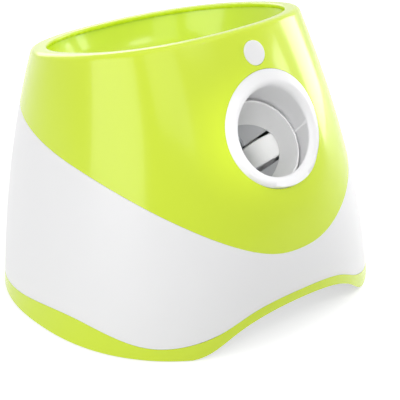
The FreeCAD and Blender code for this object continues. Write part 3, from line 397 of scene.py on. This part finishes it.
def mark_arc(edit, centre, radius, first, sweep):
    """A raised arc on a face that looks along +Y; angles run up from +X."""
    turn = Matrix.Rotation(-first, 4, "Y")
    corners = [centre + turn @ Vector((radius + side * mark_width / 2, out, 0))
               for side, out in ((-1, -mark_sink), (1, -mark_sink), (1, mark_rise), (-1, mark_rise))]
    face = edit.faces.new([edit.verts.new(corner) for corner in corners])
    bmesh.ops.spin(edit, geom=[face], cent=centre, axis=(0, 1, 0), angle=-sweep, steps=arc_steps)


def button_face(node):
    low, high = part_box(node)
    return Vector(((low.x + high.x) / 2, high.y, (low.z + high.z) / 2))


def power_mark():
    """The usual open ring with a bar."""
    edit = bmesh.new()
    centre = button_face("power_button")
    mark_arc(edit, centre, power_radius, math.radians(125), math.radians(290))
    half = mark_width / 2
    foot, top = power_bar
    mark_block(edit, centre + Vector((-half, -mark_sink, foot)), centre + Vector((half, mark_rise, top)))
    placed(edit, "power_mark", "power_button", "white_plastic")


def distance_mark():
    """Three arcs that grow, for a short, middle and long throw."""
    edit = bmesh.new()
    centre = button_face("distance_button") - Vector((0, 0, throw_drop))
    for radius in throw_arcs:
        mark_arc(edit, centre, radius, math.radians(50), math.radians(80))
    placed(edit, "distance_mark", "distance_button", "white_plastic")


power_mark()
distance_mark()


# ---------------------------------------------------------------- floor, light and camera
floor_half = 6.0
floor_lift = 0.58
horizon_level = 0.12
ceiling_level = 0.62
ceiling_from = 0.6


def seen_ray(tree):
    """One where a ray shows the background to the camera, straight on, mirrored or through glass."""
    path = tree.nodes.new("ShaderNodeLightPath")
    seen = path.outputs["Is Camera Ray"]
    for kind in ("Is Glossy Ray", "Is Transmission Ray"):
        either = tree.nodes.new("ShaderNodeMath")
        either.operation = "MAXIMUM"
        tree.links.new(seen, either.inputs[0])
        tree.links.new(path.outputs[kind], either.inputs[1])
        seen = either.outputs[0]
    return seen


def floor():
    material, tree, shader = blank("white floor")
    shader.inputs["Base Color"].default_value = (0.62, 0.62, 0.62, 1)
    shader.inputs["Roughness"].default_value = 0.9
    shader.inputs["Specular IOR Level"].default_value = 0.0
    shader.inputs["Emission Color"].default_value = (1, 1, 1, 1)
    lift = tree.nodes.new("ShaderNodeMath")
    lift.operation = "MULTIPLY"
    lift.inputs[1].default_value = floor_lift
    tree.links.new(seen_ray(tree), lift.inputs[0])
    tree.links.new(lift.outputs[0], shader.inputs["Emission Strength"])
    edit = bmesh.new()
    bmesh.ops.create_grid(edit, x_segments=1, y_segments=1, size=floor_half)
    mesh = bpy.data.meshes.new("floor")
    edit.to_mesh(mesh)
    edit.free()
    mesh.materials.append(material)
    ground = bpy.data.objects.new("floor", mesh)
    bpy.context.scene.collection.objects.link(ground)


def hang(light, place, target):
    """Hangs a light at a place and turns it to its target."""
    lamp = bpy.data.objects.new(light.name, light)
    lamp.location = place
    lamp.rotation_euler = (Vector(target) - Vector(place)).to_track_quat("-Z", "Y").to_euler()
    bpy.context.scene.collection.objects.link(lamp)


def softbox(name, place, target, width, height, power):
    light = bpy.data.lights.new(name, "AREA")
    light.shape = "RECTANGLE"
    light.size = width
    light.size_y = height
    light.energy = power
    hang(light, place, target)


def spot(name, place, target, cone, power):
    light = bpy.data.lights.new(name, "SPOT")
    light.spot_size = math.radians(cone)
    light.spot_blend = 0.5
    light.shadow_soft_size = 0.03
    light.energy = power
    hang(light, place, target)


floor()
middle = Vector((0.0, 0.0, 0.1))
bowl_back = Vector((0.0, 0.09, 0.15))
softbox("left panel", (-1.3, 0.03, 0.42), middle, 1.04, 0.8, 5.0)
softbox("right panel", (1.25, -0.16, 0.38), middle, 0.5, 0.7, 5.2)
softbox("top panel", (0.0, -0.3, 1.6), middle, 1.6, 1.6, 4.2)
softbox("front fill", (-1.15, -1.35, 1.3), middle, 1.1, 1.1, 4.0)
softbox("bowl panel", (0.0, -0.917, 1.123), bowl_back, 0.6, 0.3, 2.0)
softbox("bowl strip", (0.99, -0.683, 0.486), bowl_back, 0.2, 0.3, 0.9)
softbox("back panel", (0.35, 1.3, 0.55), middle, 1.0, 0.6, 4.0)
spot("outlet light", (-0.83, -1.05, 0.73), (0.01, -0.066, 0.12), 2.1, 55.0)


def studio():
    """A studio that is bright above, dim at the level of the floor, and white where the camera sees it."""
    world = bpy.data.worlds.new("studio")
    world.use_nodes = True
    tree = world.node_tree
    direction = tree.nodes.new("ShaderNodeTexCoord")
    parts = tree.nodes.new("ShaderNodeSeparateXYZ")
    tree.links.new(direction.outputs["Generated"], parts.inputs[0])
    height = tree.nodes.new("ShaderNodeMapRange")
    height.inputs["From Min"].default_value = 0.0
    height.inputs["From Max"].default_value = ceiling_from
    height.inputs["To Min"].default_value = horizon_level
    height.inputs["To Max"].default_value = ceiling_level
    tree.links.new(parts.outputs["Z"], height.inputs["Value"])
    level = tree.nodes.new("ShaderNodeMath")
    level.operation = "MAXIMUM"
    tree.links.new(seen_ray(tree), level.inputs[0])
    tree.links.new(height.outputs["Result"], level.inputs[1])
    background = tree.nodes["Background"]
    background.inputs["Color"].default_value = (1, 1, 1, 1)
    tree.links.new(level.outputs[0], background.inputs["Strength"])
    bpy.context.scene.world = world


studio()

camera_target = Vector((-0.0038, -0.0227, 0.0633))
camera_side = Vector((-0.5830, -0.6878, 0.4325)).normalized()
camera_distance = 1.0106
lens = bpy.data.cameras.new("camera")
lens.lens = 129.4
lens.sensor_width = 36.0
lens.clip_start = 0.01
camera = bpy.data.objects.new("camera", lens)
camera.location = camera_target + camera_side * camera_distance
camera.rotation_euler = (-camera_side).to_track_quat("-Z", "Y").to_euler()
bpy.context.scene.collection.objects.link(camera)
bpy.context.scene.camera = camera
bpy.context.scene.view_settings.view_transform = "Standard"
